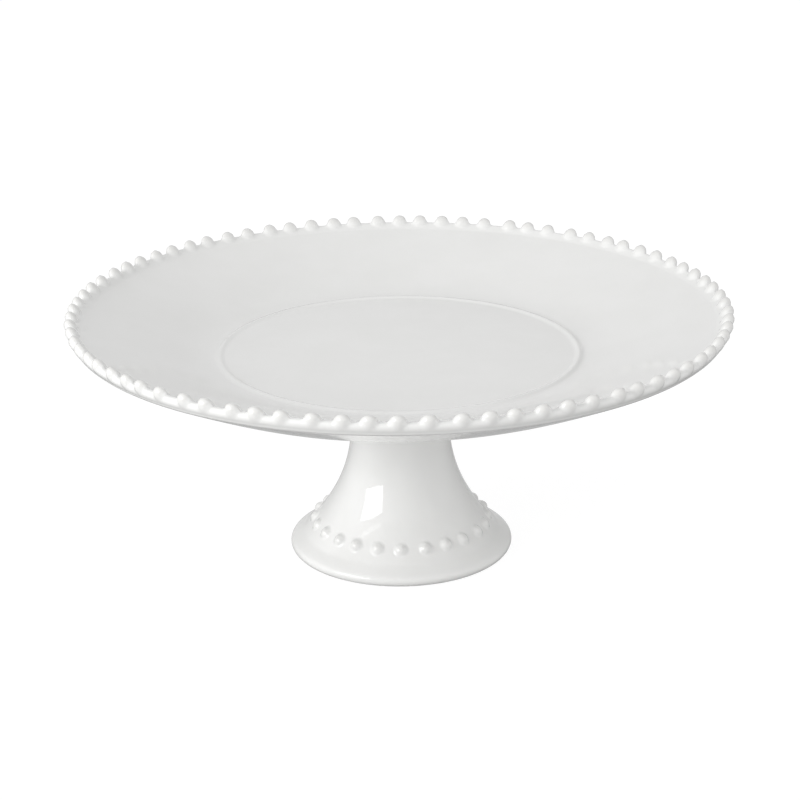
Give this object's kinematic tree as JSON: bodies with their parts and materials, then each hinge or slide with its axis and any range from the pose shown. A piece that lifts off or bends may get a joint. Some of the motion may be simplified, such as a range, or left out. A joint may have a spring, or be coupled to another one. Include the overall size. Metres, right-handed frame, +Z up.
{
  "type": "cake stand",
  "caption": "Round footed cake stand: a shallow flared plate with a flat well and a beaded lip, on a hollow trumpet foot with a belt of beads.",
  "frame": {"origin": "middle of the foot's flat contact ring, on the surface that the stand rests on", "axes": "+Z up along the pedestal's axis; the stand is round about Z, so X and Y are free choices"},
  "size_m": [0.3346, 0.3346, 0.1326],
  "materials": {
    "white_glaze": "glossy, slightly warm white glaze over stoneware",
    "bare_clay": "matt unglazed stoneware"
  },
  "bodies": {
    "root": {"plate": "white_glaze", "rim_beading": "white_glaze", "luting_ring": "bare_clay", "pedestal": "white_glaze", "foot_bead_01": "white_glaze", "foot_bead_02": "white_glaze", "foot_bead_03": "white_glaze", "foot_bead_04": "white_glaze", "foot_bead_05": "white_glaze", "foot_bead_06": "white_glaze", "foot_bead_07": "white_glaze", "foot_bead_08": "white_glaze", "foot_bead_09": "white_glaze", "foot_bead_10": "white_glaze", "foot_bead_11": "white_glaze", "foot_bead_12": "white_glaze", "foot_bead_13": "white_glaze", "foot_bead_14": "white_glaze", "foot_bead_15": "white_glaze", "foot_bead_16": "white_glaze", "foot_bead_17": "white_glaze", "foot_bead_18": "white_glaze", "foot_bead_19": "white_glaze", "foot_bead_20": "white_glaze", "foot_bead_21": "white_glaze", "foot_bead_22": "white_glaze", "foot_bead_23": "white_glaze", "foot_bead_24": "white_glaze"}
  },
  "joints": []
}
